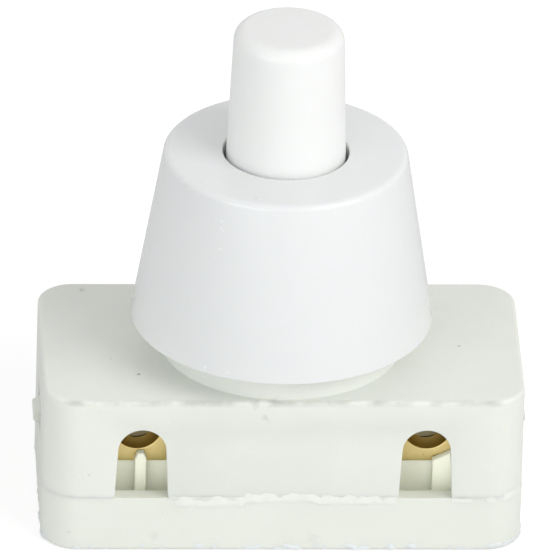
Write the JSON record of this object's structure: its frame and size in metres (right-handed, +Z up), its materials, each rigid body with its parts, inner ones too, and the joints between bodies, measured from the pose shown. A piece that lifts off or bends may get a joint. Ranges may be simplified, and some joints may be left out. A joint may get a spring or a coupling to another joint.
{
  "type": "push on push off lamp switch",
  "caption": "Push on, push off switch for a lamp base: boxed body with two lead entries, a screwed neck with a cone nut, and a round button that turns a ratchet rotor.",
  "frame": {"origin": "middle of the body's underside, on the button's axis", "axes": "+Z up along the button, +X along the body, the leads enter from -Y"},
  "size_m": [0.0304, 0.0186, 0.0322],
  "materials": {
    "housing_plastic": "semi-matte moulded off-white",
    "cover_plastic": "semi-matte moulded off-white",
    "nut_plastic": "glossy moulded cool white",
    "button_plastic": "satin moulded warm white",
    "rotor_plastic": "natural moulded, unpainted",
    "contact_brass": "rolled strip, bright",
    "terminal_brass": "extruded and drilled, bright",
    "contact_silver": "silver alloy, fine turned",
    "plated_steel": "zinc plated",
    "spring_steel": "drawn wire"
  },
  "bodies": {
    "root": {"housing": "housing_plastic", "base_cover": "cover_plastic", "return_spring": "spring_steel", "spring_washer": "plated_steel", "rotor_pin": "plated_steel", "fixed_contact_left": "contact_brass", "fixed_contact_right": "contact_brass", "contact_rivet_left": "contact_silver", "contact_rivet_right": "contact_silver", "terminal_block_left": "terminal_brass", "terminal_block_right": "terminal_brass"},
    "button": {"push_button": "button_plastic"},
    "rotor": {"ratchet_rotor": "rotor_plastic", "contact_bridge": "contact_brass", "bridge_contacts": "contact_silver"},
    "nut": {"cone_nut": "nut_plastic"},
    "screw_left": {"terminal_screw_left": "plated_steel"},
    "screw_right": {"terminal_screw_right": "plated_steel"}
  },
  "joints": [
    {"name": "button_push", "type": "slide", "parent": "root", "child": "button", "axis": [0, 0, -1], "range_m": [0, 0.003], "stiffness_N_per_m": 500, "springref_m": -0.004, "deforming": ["return_spring"]},
    {"name": "rotor_turn", "type": "hinge", "parent": "root", "child": "rotor", "pos_m": [0, 0, 0.0034], "axis": [0, 0, 1], "range_deg": [0, 45]},
    {"name": "nut_unscrew", "type": "slide", "parent": "root", "child": "nut", "axis": [0, 0, 1], "range_m": [0, 0.0215]},
    {"name": "screw_left_turn", "type": "hinge", "parent": "root", "child": "screw_left", "pos_m": [-0.0089, -0.0018, 0.0039], "axis": [0, 0, 1], "continuous": true},
    {"name": "screw_right_turn", "type": "hinge", "parent": "root", "child": "screw_right", "pos_m": [0.0089, -0.0018, 0.0039], "axis": [0, 0, 1], "continuous": true}
  ],
  "couplings": [
    {"joint": "rotor_turn", "follows": "button_push", "rad_per_m": 261.8}
  ]
}
